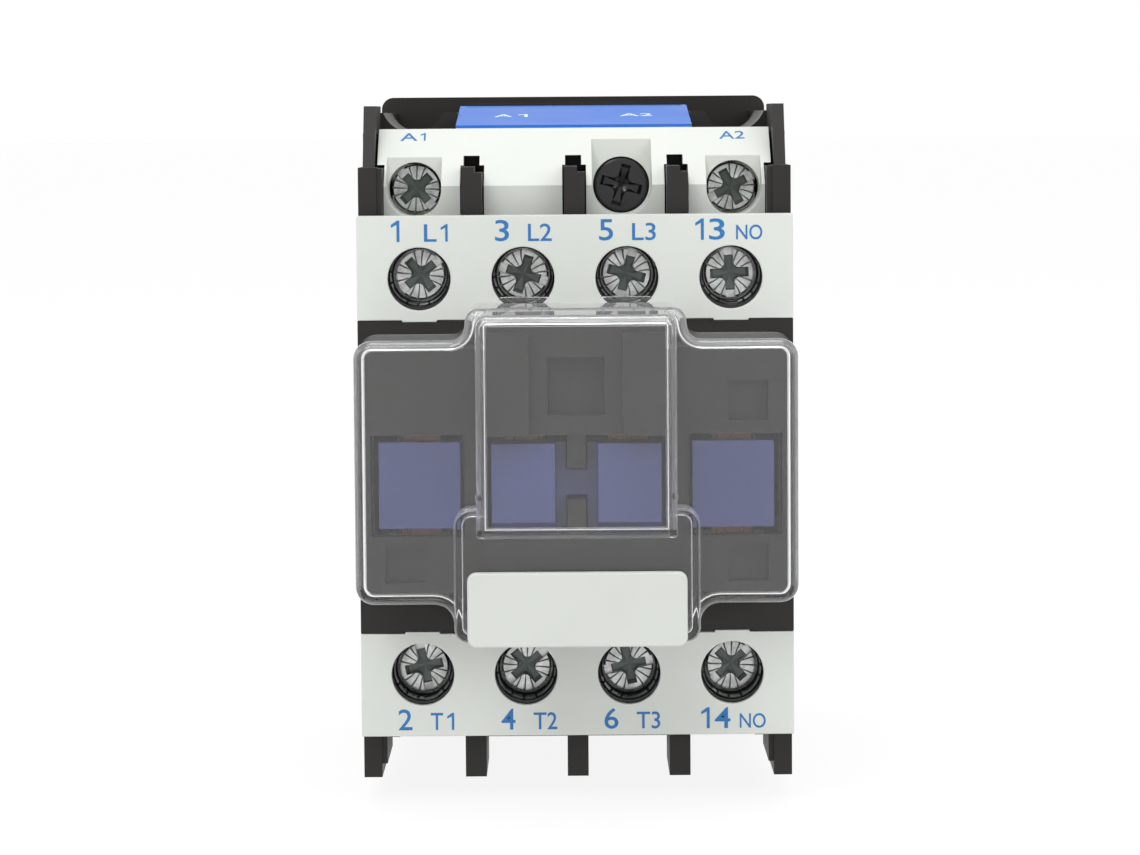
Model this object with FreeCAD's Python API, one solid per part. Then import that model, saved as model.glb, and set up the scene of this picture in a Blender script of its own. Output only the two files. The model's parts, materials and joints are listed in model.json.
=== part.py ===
"""Three-pole contactor with one auxiliary pole, for a 35 mm rail or four screws.

Frame: origin at the centre of the rail seat, +X to the right, +Y into the panel, +Z up.
Depths are given as heights above the rearmost plane, so a point at height h has y = REAR_Y - h.
"""
import FreeCAD
import Part
import math
import os
from FreeCAD import Vector

os.makedirs("parts", exist_ok=True)

# ---- driving dimensions, millimetres ----
WIDTH = 45.0
FLANGE_HEIGHT = 74.0
REAR_Y = 3.0                  # rearmost plane; the rail seat is at y = 0
RAIL_WIDTH = 35.0
HOLE_SPACING_X = 35.0
HOLE_SPACING_Z = 60.0
HOLE_RADIUS = 2.25
CONTACT_Z = -2.5              # centre line of the contact block
POLE_PITCH = 10.72
TERMINAL_Z = 20.55            # screwdriver hole, from the contact centre line
SCREW_RISE = 0.3              # terminal screws sit this much above their holes' centres
STROKE = 5.5                  # travel of the magnet and the carrier
RUN = 0.05                    # running clearance

# ---- heights above the rearmost plane ----
H_SEAT = 3.0
H_FLANGE = 8.0
H_PLINTH = 20.0
H_BASE = 42.0
H_STRIP = (58.0, 59.2)        # terminal strips
H_WASHER = (59.2, 60.2)
H_HEAD = (60.2, 62.3)         # terminal screw heads
H_CLEAR = 52.5                # the terminal screws' shanks end here
H_FIN = 62.0
H_PLATE = (63.2, 66.0)        # white terminal covers
H_WING = 75.0
H_TOWER = 79.3
H_CAP_OUTER = 74.6
H_CAP_INNER = 77.0
H_COVER_WING = 78.0
H_COVER_DOME = 84.0

# ---- widths and reaches ----
HALF_W = WIDTH / 2
HALF_H = FLANGE_HEIGHT / 2
HALF_RAIL = RAIL_WIDTH / 2
FIN_REACH = 32.0              # from the contact centre line
PLATE_Z = (16.3, 27.05)
TAB_END = 16.1                # end of the small tabs on a plate's inner edge
FIN = 2.2                     # thickness of an inner fin
FIN_STEP = 0.8                # width of the step at an upper fin's right end
OUTER_FIN = 1.9
FIN_LIP = 0.55                # step on the inner face of an outer fin
POLES = [(i - 1.5) * POLE_PITCH for i in range(4)]
SIDES = (1, -1)
COIL_SCREWS = ((-16.85, 27.1), (16.75, 27.1))
HOUSING_SCREW = (5.0, 27.4)


def block(x, h, z):
    """A box from its (low, high) pairs across, above the rear plane, and upwards."""
    corner = Vector(x[0], REAR_Y - h[1], z[0])
    return Part.makeBox(x[1] - x[0], h[1] - h[0], z[1] - z[0], corner)


def mid(centre, half):
    return (centre - half, centre + half)


def contact_z(low, high):
    """A (low, high) pair in z from one that is measured from the contact centre line."""
    return (CONTACT_Z + low, CONTACT_Z + high)


def outward(side, reach):
    """A (low, high) pair in z, mirrored below the contact centre line when side is -1."""
    ends = sorted((side * reach[0], side * reach[1]))
    return contact_z(*ends)


def hole_z(side):
    """Height of a row of screwdriver holes: the upper row when side is 1, the lower when -1."""
    return CONTACT_Z + side * TERMINAL_Z


def screw_row_z(side):
    return hole_z(side) + SCREW_RISE


def rod(radius, x, z, h):
    return Part.makeCylinder(radius, h[1] - h[0], Vector(x, REAR_Y - h[1], z), Vector(0, 1, 0))


def ring(outer, inner, x, z, h):
    return rod(outer, x, z, h).cut(rod(inner, x, z, h))


def side_prism(points, x):
    """A prism across x from an outline of (h, z) points."""
    corners = [Vector(x[0], REAR_Y - h, z) for h, z in points]
    wire = Part.makePolygon(corners + corners[:1])
    return Part.Face(wire).extrude(Vector(x[1] - x[0], 0, 0))


def u_slot(radius, x, z, top, h):
    """A slot along the depth: half round below, open up to top."""
    return rod(radius, x, z, h).fuse(block(mid(x, radius), h, (z, top)))


def joined(solids):
    result = solids[0].multiFuse(solids[1:]) if len(solids) > 1 else solids[0]
    return result.removeSplitter()


def less(solid, cutters):
    return solid.cut(Part.makeCompound(cutters)) if cutters else solid


def write(name, *solids):
    """One STEP file; several solids stay separate in one node."""
    pieces = [piece for shape in solids for piece in shape.Solids]
    shape = pieces[0] if len(pieces) == 1 else Part.makeCompound(pieces)
    if not shape.isValid():
        raise ValueError(name + " isn't a valid solid")
    shape.exportStep("parts/" + name + ".step")


# ---- rear base housing ----
CAVITY_X = 19.4
CAVITY_Z = 16.6
NOTCH_RADIUS = 3.5
CHIMNEY_X = (13.0, 20.6)      # wells over the mounting holes
WELL_FLOOR = 25.0
CLIP_SLOT_X = 8.8
CLIP_SPRING_X = 6.2
CLIP_SPRING_Z = (-31.6, -26.0)
TAIL_X = 12.6                 # half width of the coil block's tail, under the label
TAIL_FLOOR = 32.0


def tongues(grow):
    """Two moulded tongues that hold the front housing's lower edge in the base."""
    spans = ((-12.0, -6.0), (6.0, 12.0))
    z = (-28.0 - grow, -26.0 + grow)
    return [block((a - grow, b + grow), (H_BASE - 5 - grow, H_BASE), z) for a, b in spans]


def clip_pegs():
    """Two pegs in the clip's slot that the clip springs stand on."""
    z = (CLIP_SPRING_Z[0] - 1.2, CLIP_SPRING_Z[0])
    return [block(mid(x * CLIP_SPRING_X, 1.1), (2.0, H_SEAT + 2.0), z) for x in (-1, 1)]


def base_housing():
    rear = block((-HALF_W, HALF_W), (H_SEAT, H_FLANGE), (-HALF_H, HALF_H))
    corners = [e for e in rear.Edges if abs(e.Length - (H_FLANGE - H_SEAT)) < 1e-6]
    rear = rear.makeFillet(1.4, corners)
    plinth = block((-HALF_W, HALF_W), (H_FLANGE, H_PLINTH), (-HALF_H, 35.2))
    body = block((-HALF_W, HALF_W), (H_PLINTH, H_BASE), (-33.0, 35.2))
    ridge = block((-12.0, 12.0), (H_FLANGE, 31.0), (35.2, 36.2))
    upper_hook = block((-HALF_W + 2, HALF_W - 2), (0, H_SEAT), (HALF_RAIL + 0.2, HALF_H - 2))
    hook_lip = block((-HALF_W + 2, HALF_W - 2), (0, 1.7), (HALF_RAIL - 1.8, HALF_RAIL + 0.2))
    lower_foot = block((-HALF_W + 2, HALF_W - 2), (0, H_SEAT), (-HALF_H + 2, -HALF_RAIL - 0.2))
    solid = joined([rear, plinth, body, ridge, upper_hook, hook_lip, lower_foot])
    cutters = [block((-CAVITY_X, CAVITY_X), (6.0, H_BASE), contact_z(-CAVITY_Z, CAVITY_Z))]
    for side in SIDES:
        for x in (-1, 1):
            well_x = tuple(sorted((x * CHIMNEY_X[0], x * CHIMNEY_X[1])))
            well_z = tuple(sorted((side * WELL_FLOOR, side * (HALF_H + 1))))
            cutters.append(block(well_x, (H_FLANGE, H_PLINTH), well_z))
            hole_x = x * HOLE_SPACING_X / 2
            hole_z = side * HOLE_SPACING_Z / 2
            cutters.append(rod(HOLE_RADIUS, hole_x, hole_z, (0, H_FLANGE)))
    for x in (-1, 1):
        cutters.append(rod(NOTCH_RADIUS, x * HOLE_SPACING_X / 2, 36.5, (H_PLINTH, H_BASE)))
    cutters.append(block((-CLIP_SLOT_X, CLIP_SLOT_X), (0, H_SEAT + 2.0), (-HALF_H - 1, -HALF_RAIL - 0.2)))
    cutters.append(block((-4.6, 4.6), (0, H_SEAT + 2.0), (-HALF_RAIL - 0.2, -12.0)))
    cutters.append(block((-2.6, 2.6), (14.0, 18.0), (34.6, 36.3)))
    cutters.append(rod(1.5, *HOUSING_SCREW, (30.0, H_BASE)))
    cutters.append(block(mid(0, TAIL_X + 0.1), (31.0, H_BASE), (TAIL_FLOOR, 37.0)))
    cutters += tongues(0.1)
    return less(solid, cutters).fuse(Part.makeCompound(clip_pegs()))


# ---- front housing ----
CHAMBER_X = 4.45
CHAMBER_Z = 11.6
H_CHAMBER = (54.0, 73.0)
WINDOW_OUTER_X = 4.75         # half width of an outer window
WINDOW_INNER = (0.95, 9.26)   # an inner window's reach from the middle
WINDOW_Z = 5.15
LINK_SLOT_Z = (-1.3, 1.75)    # gap that the carrier's link moves in
WING_Z = (-10.9, 13.9)
TOWER_X = 9.4
STRIP_SLOT_X = 3.8
CHEEK = [(H_BASE, 26.0), (57.0, 26.0), (57.0, 29.5), (53.5, 35.9), (H_BASE, 35.9)]    # (h, z)


def terminal_walls(side):
    """Partitions and outer walls on one side of the contact block."""
    walls = []
    for i in range(3):
        x = (i - 1) * POLE_PITCH
        fin = block(mid(x, FIN / 2), (50.0, H_FIN), outward(side, (PLATE_Z[0], FIN_REACH)))
        if side > 0:
            shoulder = (x + FIN / 2 - FIN_STEP, x + FIN / 2)
            step = block(shoulder, (50.0, H_FIN), outward(side, (FIN_REACH - 0.6, FIN_REACH)))
            fin = fin.cut(step)
        walls.append(fin)
    for x in (-1, 1):
        span = tuple(sorted((x * (HALF_W - OUTER_FIN), x * HALF_W)))
        walls.append(block(span, (H_BASE, H_FIN), outward(side, (PLATE_Z[0], FIN_REACH))))
        lip = tuple(sorted((x * (HALF_W - OUTER_FIN - FIN_LIP), x * (HALF_W - OUTER_FIN))))
        lip_end = 31.9 if side > 0 else 30.6
        walls.append(block(lip, (50.0, H_FIN - 0.3), outward(side, (PLATE_Z[0], lip_end))))
    return walls


def centre_tower():
    """The raised centre of the contact block, with its two rails and the lower ledge."""
    upper = block((-TOWER_X, TOWER_X), (66.0, H_TOWER - 1.6), contact_z(5.3, 16.6))
    rails = [block(span, (66.0, H_TOWER), contact_z(5.3, 15.6)) for span in ((-9.0, -4.7), (4.7, 9.0))]
    lower = block((-TOWER_X, TOWER_X), (66.0, H_TOWER - 2.2), contact_z(-14.4, -5.3))
    spine = block((-9.4, 9.4), (66.0, 74.0), contact_z(-5.3, 5.3))
    fingers = [block((-0.9, 0.9), (74.0, 77.0), contact_z(*z)) for z in ((1.9, 5.3), (-5.3, -1.3))]
    return [upper, lower, spine] + rails + fingers


def front_housing():
    body = block((-HALF_W, HALF_W), (H_BASE, H_STRIP[0]), contact_z(-26.4, 26.4))
    shoulder = block((-HALF_W, HALF_W), (H_BASE, 51.0), (23.0, 33.0))
    middle = block((-HALF_W, HALF_W), (H_STRIP[0], 65.8), contact_z(-16.25, 16.25))
    wings = block((-21.5, 21.5), (65.8, H_WING), contact_z(*WING_Z))
    solids = [body, shoulder, middle, wings] + centre_tower()
    for side in SIDES:
        solids += terminal_walls(side)
    for x in (-1, 1):
        cheek = sorted((x * 21.0, x * (HALF_W - 0.25)))
        solids.append(side_prism(CHEEK, cheek))
    solid = joined(solids)
    cutters = [block((-20.5, 20.5), (H_BASE, 54.0), contact_z(-14.0, 14.0))]
    for i, x in enumerate(POLES):
        cutters.append(block(mid(x, CHAMBER_X), H_CHAMBER, contact_z(-CHAMBER_Z, CHAMBER_Z)))
        inner_x = sorted(math.copysign(end, x) for end in WINDOW_INNER)
        window_x = mid(x, WINDOW_OUTER_X) if i in (0, 3) else inner_x
        cutters.append(block(window_x, (73.0, 80.0), contact_z(-WINDOW_Z, WINDOW_Z)))
        for side in SIDES:
            slot_z = outward(side, (CHAMBER_Z, PLATE_Z[0]))
            cutters.append(block(mid(x, STRIP_SLOT_X), (H_STRIP[0], 60.4), slot_z))
            cutters.append(rod(2.3, x, screw_row_z(side), (H_CLEAR - 0.6, H_STRIP[0])))
        for side in SIDES:
            cutters.append(block(mid(x, 1.85), H_PLATE, outward(side, (TAB_END - 0.05, PLATE_Z[0]))))
    cutters.append(block((-1.0, 1.0), (66.3, 80.0), contact_z(*LINK_SLOT_Z)))
    cutters.append(block((-2.9, 2.9), (H_TOWER - 4.0, H_TOWER), contact_z(7.3, 13.1)))
    for x in (-1, 1):
        recess = sorted((x * 15.4, x * 19.4))
        cutters.append(block(recess, (73.8, H_WING), contact_z(-9.9, -6.1)))
    cutters.append(block((15.4, 19.4), (73.8, H_WING), contact_z(6.5, 10.5)))
    for x, z in COIL_SCREWS:
        cutters.append(block(mid(x, 3.3), (47.0, 51.0), (22.9, 31.0)))
        cutters.append(rod(2.0, x, z, (43.0, 47.0)))
        cutters.append(block(mid(x, 3.0), (H_BASE, 48.3), (11.0, 13.6)))
        cutters.append(block(mid(x, 3.0), (46.9, 48.3), (13.0, 31.0)))
    cutters.append(rod(1.7, *HOUSING_SCREW, (H_BASE, 51.0)))
    cutters.append(block(mid(0, TAIL_X + 0.1), (H_BASE, 51.0), (TAIL_FLOOR, 37.0)))
    return less(solid, cutters).fuse(Part.makeCompound(tongues(0.0)))


# ---- white mouldings ----
SCREW_HOLE = 3.25
COIL_HOLE = 2.85
COIL_PAD = 2.9
GUIDE_OUTER = SCREW_HOLE + 0.35
GUIDE_THROAT = 2.85           # radius at the foot of a screw guide
H_GUIDE = (H_PLATE[0], H_PLATE[1] - 0.8)
H_GUIDE_LIP = 62.75
SLOPE = ((51.0, 33.45), (59.0, 27.5))     # (h, z) of the coil block's sloped face


def terminal_cover(side):
    """A white cover plate with four screwdriver holes and a shallow skirt."""
    plate = block((-HALF_W, HALF_W), H_PLATE, outward(side, PLATE_Z))
    tabs = [block(mid(x, 1.8), H_PLATE, outward(side, (TAB_END, PLATE_Z[0]))) for x in (POLES[0], POLES[3])]
    cutters = []
    for x in POLES:
        cutters.append(rod(SCREW_HOLE, x, hole_z(side), H_PLATE))
        cutters.append(rod(GUIDE_OUTER, x, hole_z(side), H_GUIDE))
    return less(joined([plate] + tabs), cutters)


def screw_guides():
    """Dark collars that lead a screwdriver to the eight terminal screws."""
    lip = (H_GUIDE_LIP, H_PLATE[0] + 0.3)
    guides = []
    for side in SIDES:
        for x in POLES:
            collar = ring(GUIDE_OUTER, SCREW_HOLE, x, hole_z(side), H_GUIDE)
            floor = rod(GUIDE_OUTER, x, hole_z(side), lip).cut(rod(GUIDE_THROAT, x, screw_row_z(side), lip))
            guides.append(joined([collar, floor]))
    return guides


def coil_terminal_block():
    """The sloped white moulding with three screw pads and a tail under the label."""
    half = 20.75
    nose = side_prism([(51.0, 23.95), (59.0, 23.95), SLOPE[1], SLOPE[0]], (-half, half))
    tail = side_prism([(31.0, TAIL_FLOOR), (51.0, TAIL_FLOOR), SLOPE[0], (31.0, 35.6)], (-TAIL_X, TAIL_X))
    cutters = []
    for x, z in COIL_SCREWS:
        cutters.append(u_slot(COIL_PAD, x, z, 36.0, (55.0, 60.0)))
        cutters.append(rod(COIL_HOLE, x, z, (51.0, 55.0)))
    x, z = HOUSING_SCREW
    cutters.append(u_slot(3.15, x, z, 36.0, (52.6, 60.0)))
    cutters.append(rod(3.0, x, z, (51.0, 53.0)))
    for i in range(3):
        fin_x = (i - 1) * POLE_PITCH
        fin_top = CONTACT_Z + FIN_REACH + 0.1
        cutters.append(block(mid(fin_x, FIN / 2 + 0.15), (49.0, 60.0), (23.8, fin_top)))
        cutters.append(block(mid(fin_x - 0.1, 0.85), (49.0, 60.0), (fin_top, 30.6)))
    for x in (-1, 1):
        cutters.append(block(sorted((x * 19.98, x * 21.0)), (50.0, 60.0), (23.8, 29.7)))
    return less(joined([nose, tail]), cutters)


def coil_label():
    return side_prism([(31.3, 35.6), (50.7, 33.5), (50.7, 33.8), (31.3, 35.9)], (-TAIL_X, TAIL_X))


# ---- conductors ----
STRIP_X = 3.6
STRIP_Z = (6.4, 24.3)
TIP_Z = 8.6
SHANK = 1.75
HEAD = 2.6                    # radius of a terminal screw's head
H_FIXED_TIP = (59.2, 60.15)
H_MOVING_TIP = (63.7, 64.7)
H_BRIDGE = (64.7, 65.7)
BRIDGE_X = 2.1


def contact_strip(x, side):
    """A fixed conductor: contact tip at one end, clamping screw at the other."""
    strip = block(mid(x, STRIP_X), H_STRIP, outward(side, STRIP_Z))
    return strip.cut(rod(SHANK + RUN, x, screw_row_z(side), H_STRIP))


def fixed_tips():
    return [rod(1.7, x, CONTACT_Z + side * TIP_Z, H_FIXED_TIP) for side in SIDES for x in POLES]


def contact_bridges():
    return [block(mid(x, BRIDGE_X), H_BRIDGE, contact_z(-10.2, 10.2)) for x in POLES]


def moving_tips():
    return [rod(1.5, x, CONTACT_Z + side * TIP_Z, H_MOVING_TIP) for side in SIDES for x in POLES]


def clamp_washer(x, z, h, half):
    """A square washer, turned down at its outer edge to keep the wire under the screw."""
    plate = block(mid(x, half), h, mid(z, half))
    return plate.cut(rod(SHANK + RUN, x, z, h))


def recess_cutter(x, z, h, reach, width, depth):
    cross = block(mid(x, reach), (h - depth, h), mid(z, width / 2))
    return cross.fuse(block(mid(x, width / 2), (h - depth, h), mid(z, reach)))


def pan_screw(x, z, h, radius, shank, tip):
    """A screw with a domed head between the heights h, and a cross recess."""
    head = rod(radius, x, z, h)
    rim = [e for e in head.Edges if len(e.Vertexes) == 1 and abs(e.BoundBox.YMax - (REAR_Y - h[1])) < 1e-6]
    head = head.makeFillet(0.5, rim)
    solid = head.fuse(rod(shank, x, z, (tip, h[0]))).removeSplitter()
    return solid.cut(recess_cutter(x, z, h[1], radius * 0.66, 0.9, 1.2))


# ---- magnet and coil ----
CORE_Z = 5.5
CORE_X = 18.4
LEG_OUTER = (13.6, 18.4)
LEG_CENTRE = 4.4
H_YOKE = (8.0, 13.5)
H_POLE = 24.0
H_MOVING_POLE = H_POLE + STROKE + 0.2
H_MOVING_YOKE = (36.7, 42.2)
H_RING = (22.3, 23.5)
RING_Z = 1.0
H_BOBBIN = (13.6, 31.0)
PIN_H = 39.6


def core(yoke, legs):
    """An E-shaped stack of laminations: one yoke and three legs."""
    z = contact_z(-CORE_Z, CORE_Z)
    solids = [block((-CORE_X, CORE_X), yoke, z), block((-LEG_CENTRE, LEG_CENTRE), legs, z)]
    solids += [block(tuple(sorted((x * LEG_OUTER[0], x * LEG_OUTER[1]))), legs, z) for x in (-1, 1)]
    return joined(solids)


def fixed_core():
    solid = core(H_YOKE, (H_YOKE[1], H_POLE))
    grooves = [block(sorted((x * 13.0, x * 19.0)), (H_RING[0], H_POLE), contact_z(RING_Z, RING_Z + 0.8))
               for x in (-1, 1)]
    return less(solid, grooves)


def shading_rings():
    leg_z = contact_z(-CORE_Z, RING_Z)
    frame_z = contact_z(-CORE_Z - 0.8, RING_Z + 0.8)
    legs = [block(sorted((x * LEG_OUTER[0], x * LEG_OUTER[1])), H_RING, leg_z) for x in (-1, 1)]
    frames = [block(sorted((x * 12.9, x * 19.1)), H_RING, frame_z) for x in (-1, 1)]
    return [frame.cut(leg) for frame, leg in zip(frames, legs)]


def core_cushion():
    return block((-CORE_X, CORE_X), (6.0, H_YOKE[0]), contact_z(-CORE_Z, CORE_Z))


def moving_core():
    solid = core(H_MOVING_YOKE, (H_MOVING_POLE, H_MOVING_YOKE[0]))
    return solid.cut(core_pin())


def core_pin():
    return Part.makeCylinder(1.2, 2 * 7.7, Vector(0, REAR_Y - PIN_H, CONTACT_Z - 7.7))


def coil_bobbin():
    low, high = H_BOBBIN
    solids = [block((-5.6, 5.6), (low, high), contact_z(-6.6, 6.6))]
    flange_z = contact_z(-14.0, 14.0)
    solids += [block((-12.6, 12.6), h, flange_z) for h in ((low, low + 1.2), (high - 1.2, high))]
    return joined(solids).cut(block((-4.8, 4.8), (low, high), contact_z(-5.8, 5.8)))


def coil_winding():
    h = (H_BOBBIN[0] + 1.25, H_BOBBIN[1] - 1.25)
    outer = block((-12.0, 12.0), h, contact_z(-13.2, 13.2))
    outer = outer.makeFillet(3.0, [e for e in outer.Edges if abs(e.Length - (h[1] - h[0])) < 1e-6])
    return outer.cut(block((-5.65, 5.65), h, contact_z(-6.65, 6.65)))


def coil_terminal(x, z):
    """A bent strip from the bobbin's front flange to the coil screw."""
    foot = block(sorted((math.copysign(8.0, x), math.copysign(18.8, x))), (31.0, 31.8), (8.8, 13.2))
    riser = block(mid(x, 1.9), (31.0, 48.0), (12.4, 13.2))
    seat = block(mid(x, 2.6), (47.2, 48.0), (12.4, 30.6))
    return joined([foot, riser, seat]).cut(rod(SHANK + RUN, x, z, (47.0, 48.2)))


# ---- moving contact carrier ----
H_BEAM = (43.0, 50.0)
H_SLOT = (64.65, 72.3)
SPRING_Z = 10.8
H_SPRING_SEAT = 46.0
CAP_OUTER = (11.73, 20.03)    # an outer cap's reach from the middle
CAP_INNER = (2.14, 8.58)
CAP_FLANK = (1.05, 2.2)       # lower step on an inner cap's near side
H_FLANK = 74.0
CAP_Z = 4.4
CAP_SLOPE = (1.0, 0.8)        # depth and rise of the slope under an inner cap's face


def contact_carrier():
    """Blue moulding: a beam behind the chambers, four posts, and lugs for the moving core."""
    solids = [block((-19.0, 19.0), H_BEAM, contact_z(-7.0, 7.0)),
              block((-4.0, 4.0), (H_SPRING_SEAT, H_BEAM[1]), contact_z(-13.4, 13.4))]
    solids += [block((-5.0, 5.0), (37.0, H_BEAM[0]), outward(side, (5.7, 7.7))) for side in SIDES]
    cutters = [core_pin()]
    low, high = contact_z(-CAP_Z, CAP_Z)
    face = [(H_BEAM[1], low), (H_CAP_INNER - CAP_SLOPE[0], low), (H_CAP_INNER, low + CAP_SLOPE[1]),
            (H_CAP_INNER, high), (H_BEAM[1], high)]
    for x in (-1, 1):
        solids.append(block(sorted(x * end for end in CAP_OUTER), (H_BEAM[1], H_CAP_OUTER), (low, high)))
        solids.append(side_prism(face, sorted(x * end for end in CAP_INNER)))
        solids.append(block(sorted(x * end for end in CAP_FLANK), (H_BEAM[1], H_FLANK), (low, high)))
    solids.append(block(mid(0, CAP_FLANK[1]), (H_FLANK - 2.0, H_FLANK), contact_z(-1.1, 1.55)))
    for x in POLES:
        cutters.append(block(mid(x, BRIDGE_X + 0.1), H_SLOT, (low, high)))
    return less(joined(solids), cutters)


def contact_springs():
    return [ring(1.7, 1.2, x, CONTACT_Z, (H_BRIDGE[1], H_SLOT[1])) for x in POLES]


def return_springs():
    h = (H_BOBBIN[1], H_SPRING_SEAT)
    return [ring(2.4, 1.8, 0, CONTACT_Z + side * SPRING_Z, h) for side in SIDES]


# ---- rail clip ----
def rail_clip():
    """The sliding latch under the lower edge of the rail."""
    body = block(mid(0, CLIP_SLOT_X - 0.2), (0.6, H_SEAT + 1.8), (-36.6, -21.0))
    lip = block((-4.4, 4.4), (0.2, 1.7), (-21.0, -15.7))
    tongue = block((-4.4, 4.4), (0.2, H_SEAT + 1.8), (-21.4, -17.9))
    cutters = [block((-1.8, 1.8), (0.0, H_SEAT + 2), (-35.4, -33.9))]
    for x in (-1, 1):
        cutters.append(block(mid(x * CLIP_SPRING_X, 1.3), (0, H_SEAT + 2), (-33.2, CLIP_SPRING_Z[1])))
    return less(joined([body, lip, tongue]), cutters)


def rail_clip_springs():
    low, high = CLIP_SPRING_Z
    springs = []
    for x in (-CLIP_SPRING_X, CLIP_SPRING_X):
        foot = Vector(x, REAR_Y - 3.4, low)
        springs.append(Part.makeCylinder(1.1, high - low, foot).cut(Part.makeCylinder(0.7, high - low, foot)))
    return springs


# ---- clear dust cover ----
COVER_WALL = 0.8
H_COVER_FOOT = 66.3
H_COVER_LEDGE = 80.8
COVER_TOP = 18.1              # from the contact centre line
COVER_TAB = 18.7
COVER_BOTTOM = -15.5
MARKER_Z = (-15.65, -8.15)
MARKER_X = 11.0


def cover_form(shrink, foot):
    """The cross shape of the cover, or of its hollow when shrink is the wall."""
    parts = ((22.4, H_COVER_WING, -11.9, 14.9), (10.4, H_COVER_DOME, -4.9, COVER_TOP),
             (12.6, H_COVER_LEDGE, COVER_BOTTOM, -1.6))
    return joined([block(mid(0, x - shrink), (foot, h - shrink), contact_z(low + shrink, high - shrink))
                   for x, h, low, high in parts])


def dust_cover():
    shell = cover_form(0.0, H_COVER_FOOT)
    tab_z = contact_z(COVER_TOP - 0.1, COVER_TAB)
    tabs = [block(span, (H_COVER_FOOT, 68.0), tab_z) for span in ((-8.2, -2.2), (2.2, 8.2))]
    hollow = cover_form(COVER_WALL, H_COVER_FOOT - 1)
    bridge = block((-11.0, 11.0), (H_COVER_FOOT - 1, H_COVER_WING - COVER_WALL), contact_z(-6.0, -2.0))
    hollow = hollow.fuse(bridge)
    return joined([shell] + tabs).cut(hollow)


def marker_plate():
    return block((-MARKER_X, MARKER_X), (H_COVER_LEDGE, H_COVER_LEDGE + 1.0), contact_z(*MARKER_Z))


write("base_housing", base_housing())
write("front_housing", front_housing())
write("upper_terminal_cover", terminal_cover(1))
write("lower_terminal_cover", terminal_cover(-1))
write("screw_guides", *screw_guides())
write("coil_terminal_block", coil_terminal_block())
write("coil_label", coil_label())
write("fixed_tips", *fixed_tips())
for number, pole_x in enumerate(POLES, 1):
    write("line_contact_%d" % number, contact_strip(pole_x, 1))
    write("load_contact_%d" % number, contact_strip(pole_x, -1))

screw_places = [("line_%d" % n, x, screw_row_z(1)) for n, x in enumerate(POLES, 1)]
screw_places += [("load_%d" % n, x, screw_row_z(-1)) for n, x in enumerate(POLES, 1)]
for label, screw_x, screw_z in screw_places:
    write("clamp_washer_" + label, clamp_washer(screw_x, screw_z, H_WASHER, 3.4))
    write("terminal_screw_" + label, pan_screw(screw_x, screw_z, H_HEAD, HEAD, SHANK, H_CLEAR))
for label, (screw_x, screw_z) in zip(("a1", "a2"), COIL_SCREWS):
    write("coil_terminal_" + label, coil_terminal(screw_x, screw_z))
    write("clamp_washer_" + label, clamp_washer(screw_x, screw_z, (48.0, 49.0), 2.7))
    write("coil_screw_" + label, pan_screw(screw_x, screw_z, (49.0, 51.0), HEAD, SHANK, 44.0))
write("housing_screw", pan_screw(*HOUSING_SCREW, (51.0, 52.8), 2.85, 1.45, 32.0))

write("core_cushion", core_cushion())
write("fixed_core", fixed_core())
write("shading_rings", *shading_rings())
write("coil_bobbin", coil_bobbin())
write("coil_winding", coil_winding())
write("moving_core", moving_core())
write("core_pin", core_pin())
write("contact_carrier", contact_carrier())
write("return_springs", *return_springs())
write("contact_bridges", *contact_bridges())
write("moving_tips", *moving_tips())
write("contact_springs", *contact_springs())
write("rail_clip", rail_clip())
write("rail_clip_springs", *rail_clip_springs())
write("dust_cover", dust_cover())
write("marker_plate", marker_plate())
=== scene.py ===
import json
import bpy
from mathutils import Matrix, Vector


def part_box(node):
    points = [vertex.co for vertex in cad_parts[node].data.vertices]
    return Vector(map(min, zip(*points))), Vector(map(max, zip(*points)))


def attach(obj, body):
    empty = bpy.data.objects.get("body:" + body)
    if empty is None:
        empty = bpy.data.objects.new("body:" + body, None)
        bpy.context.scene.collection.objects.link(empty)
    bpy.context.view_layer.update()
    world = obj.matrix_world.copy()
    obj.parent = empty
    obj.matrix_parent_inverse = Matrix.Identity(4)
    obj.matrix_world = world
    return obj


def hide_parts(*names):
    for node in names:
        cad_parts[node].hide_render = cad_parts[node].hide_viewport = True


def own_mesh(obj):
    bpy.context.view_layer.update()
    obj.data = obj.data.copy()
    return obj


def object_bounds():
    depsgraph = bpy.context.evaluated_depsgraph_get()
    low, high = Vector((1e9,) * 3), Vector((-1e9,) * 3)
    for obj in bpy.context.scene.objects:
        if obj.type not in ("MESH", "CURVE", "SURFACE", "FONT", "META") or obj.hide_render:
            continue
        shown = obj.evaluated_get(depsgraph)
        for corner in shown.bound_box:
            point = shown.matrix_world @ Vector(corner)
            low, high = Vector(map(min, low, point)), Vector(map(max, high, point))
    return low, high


bl_info = {
    "name": "Contactor looks",
    "version": (1, 0, 0),
    "blender": (4, 5, 0),
    "location": "View3D > Sidebar > Contactor",
    "description": "Surfaces, prints and fine detail of a rail-mounted contactor around its fixed frame",
    "category": "Object",
}

from math import atan2, copysign, cos, dist, hypot, pi, radians, sin, tan

import bmesh
import bpy
from mathutils import Matrix, Vector

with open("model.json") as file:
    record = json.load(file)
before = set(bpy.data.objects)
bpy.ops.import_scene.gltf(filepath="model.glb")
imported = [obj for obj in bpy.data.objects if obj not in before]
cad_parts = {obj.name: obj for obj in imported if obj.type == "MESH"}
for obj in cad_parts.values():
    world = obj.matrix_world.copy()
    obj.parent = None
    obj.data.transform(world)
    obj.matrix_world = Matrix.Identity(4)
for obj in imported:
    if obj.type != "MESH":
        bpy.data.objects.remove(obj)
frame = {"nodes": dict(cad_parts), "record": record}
CAD_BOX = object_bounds()

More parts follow.
